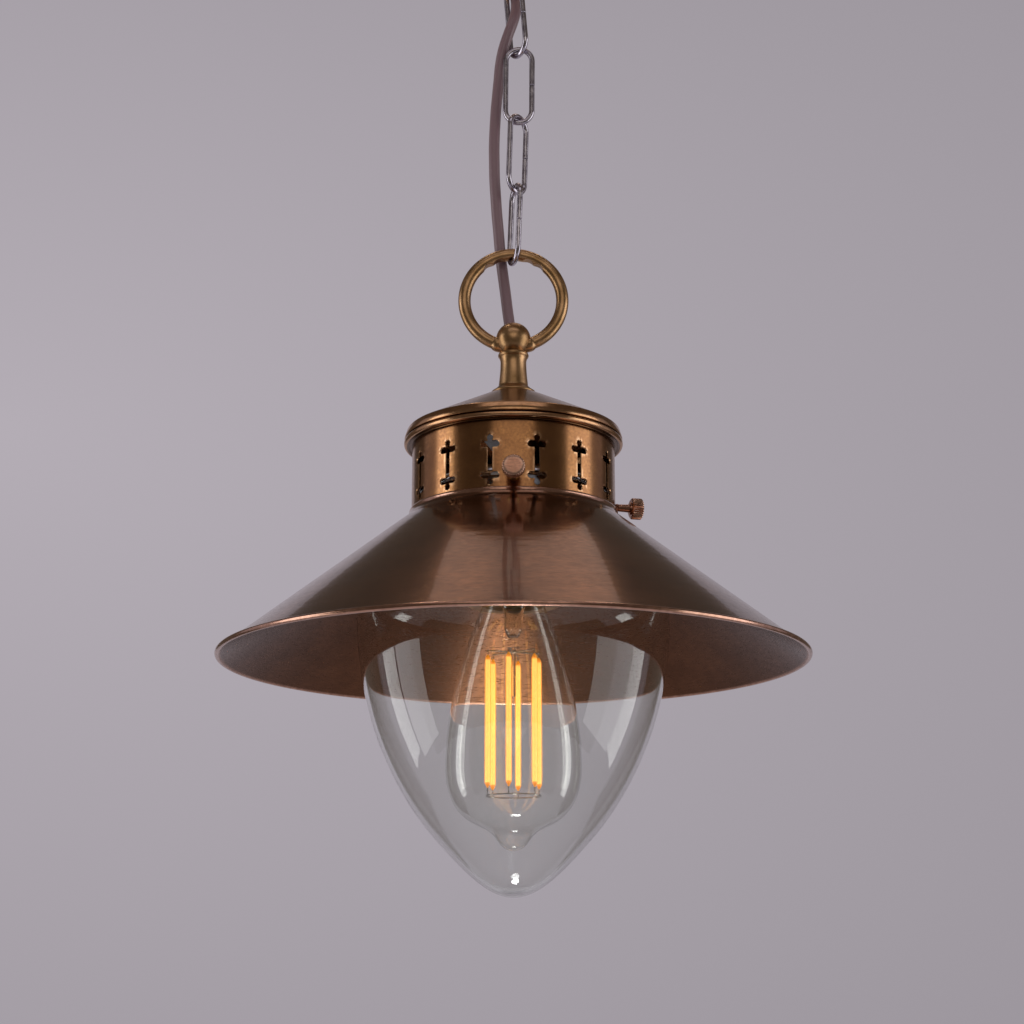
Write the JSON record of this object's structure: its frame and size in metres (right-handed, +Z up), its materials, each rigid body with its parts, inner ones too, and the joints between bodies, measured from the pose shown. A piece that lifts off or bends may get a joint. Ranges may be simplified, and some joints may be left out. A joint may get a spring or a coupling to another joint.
{
  "type": "hanging lantern",
  "caption": "Ceiling lantern hung by a chain and ring: a cone shade under a pierced gallery, a clear acorn-shaped glass held by thumbscrews, and a filament bulb inside.",
  "frame": {"origin": "middle of the two ceiling screws, on the ceiling plane and on the lantern's axis", "axes": "+Z up into the ceiling, -Y towards the front thumbscrew, +X to the right seen from the front, along the ceiling bracket"},
  "size_m": [0.28, 0.28, 0.5273],
  "materials": {
    "aged_copper": "antique copper, lacquered",
    "aged_brass": "antique brass, lacquered",
    "bare_brass": "turned, bare",
    "zinc_steel": "zinc plated",
    "pewter_steel": "pewter plated, brushed",
    "braided_flex": "braided rayon",
    "core_sleeve": "smooth insulation",
    "nylon": "moulded",
    "porcelain": "glazed",
    "clear_glass": "clear, blown",
    "bulb_glass": "clear, thin",
    "nickel": "nickel plated, rolled",
    "vitrite": "black fused glass",
    "solder": "tinned",
    "filament": "yellow phosphor coat",
    "board": "printed circuit board"
  },
  "bodies": {
    "ceiling": {"ceiling_bracket": "zinc_steel", "bracket_nuts": "zinc_steel", "ceiling_tube": "bare_brass", "ceiling_cup": "aged_copper", "collar_loop": "aged_brass", "cord_grip": "nylon", "grip_screw": "zinc_steel", "terminal_block": "porcelain", "terminal_sleeves": "bare_brass", "terminal_screws": "zinc_steel", "ceiling_cores": "core_sleeve", "flex_top": "braided_flex", "flex_1": "braided_flex"},
    "link_1": {"link_1": "pewter_steel", "flex_2": "braided_flex"},
    "link_2": {"link_2": "pewter_steel", "flex_3": "braided_flex"},
    "link_3": {"link_3": "pewter_steel", "flex_4": "braided_flex"},
    "link_4": {"link_4": "pewter_steel"},
    "lantern": {"flex_5": "braided_flex", "flex_stem": "braided_flex", "hanging_ring": "aged_brass", "stem_tube": "bare_brass", "lid": "aged_copper", "lid_nut": "zinc_steel", "bridge": "zinc_steel", "bridge_nut": "zinc_steel", "gallery": "aged_copper", "screw_bushes": "bare_brass", "shade": "aged_copper", "shade_ring": "aged_copper", "acorn_glass": "clear_glass", "holder_cap": "aged_brass", "holder_body": "aged_brass", "holder_ring": "aged_brass", "holder_insert": "porcelain", "holder_shell": "bare_brass", "holder_tongue": "bare_brass", "holder_cores": "core_sleeve"},
    "thumb_screw_1": {"thumb_screw_1": "aged_copper"},
    "thumb_screw_2": {"thumb_screw_2": "aged_copper"},
    "thumb_screw_3": {"thumb_screw_3": "aged_copper"},
    "bulb": {"bulb_glass": "bulb_glass", "bulb_cap": "nickel", "bulb_insulator": "vitrite", "bulb_contact": "solder", "bulb_stem": "bulb_glass", "bulb_filaments": "filament", "bulb_wires": "nickel", "bulb_driver": "board"}
  },
  "joints": [
    {"name": "link_1_swing", "type": "hinge", "parent": "ceiling", "child": "link_1", "pos_m": [0, 0, -0.0608], "axis": [0.829, 0.5592, 0], "range_deg": [-25, 25], "deforming": ["flex_1"]},
    {"name": "link_2_swing", "type": "hinge", "parent": "link_1", "child": "link_2", "pos_m": [0.00299, 0, -0.09878], "axis": [0.5575, -0.829, 0.0439], "range_deg": [-25, 25], "deforming": ["flex_2"]},
    {"name": "link_3_swing", "type": "hinge", "parent": "link_2", "child": "link_3", "pos_m": [0.00265, 0, -0.13748], "axis": [1, 0, -0.0087], "range_deg": [-25, 25], "deforming": ["flex_3"]},
    {"name": "link_4_swing", "type": "hinge", "parent": "link_3", "child": "link_4", "pos_m": [0.00144, 0, -0.17616], "axis": [0.5875, 0.809, -0.0185], "range_deg": [-25, 25], "deforming": ["flex_4"]},
    {"name": "lantern_swing", "type": "hinge", "parent": "link_4", "child": "lantern", "pos_m": [0.00002, 0, -0.21484], "axis": [0.3088, -0.9511, -0.0113], "range_deg": [-25, 25], "deforming": ["flex_5"]},
    {"name": "thumb_screw_1_travel", "type": "slide", "parent": "lantern", "child": "thumb_screw_1", "axis": [0, -1, 0], "range_m": [0, 0.0045]},
    {"name": "thumb_screw_2_travel", "type": "slide", "parent": "lantern", "child": "thumb_screw_2", "axis": [0.9749, 0.2225, 0], "range_m": [0, 0.0045]},
    {"name": "thumb_screw_3_travel", "type": "slide", "parent": "lantern", "child": "thumb_screw_3", "axis": [-0.7818, 0.6235, 0], "range_m": [0, 0.0045]},
    {"name": "bulb_turn", "type": "hinge", "parent": "lantern", "child": "bulb", "pos_m": [0, 0, -0.37658], "axis": [0, 0, 1], "continuous": true}
  ]
}
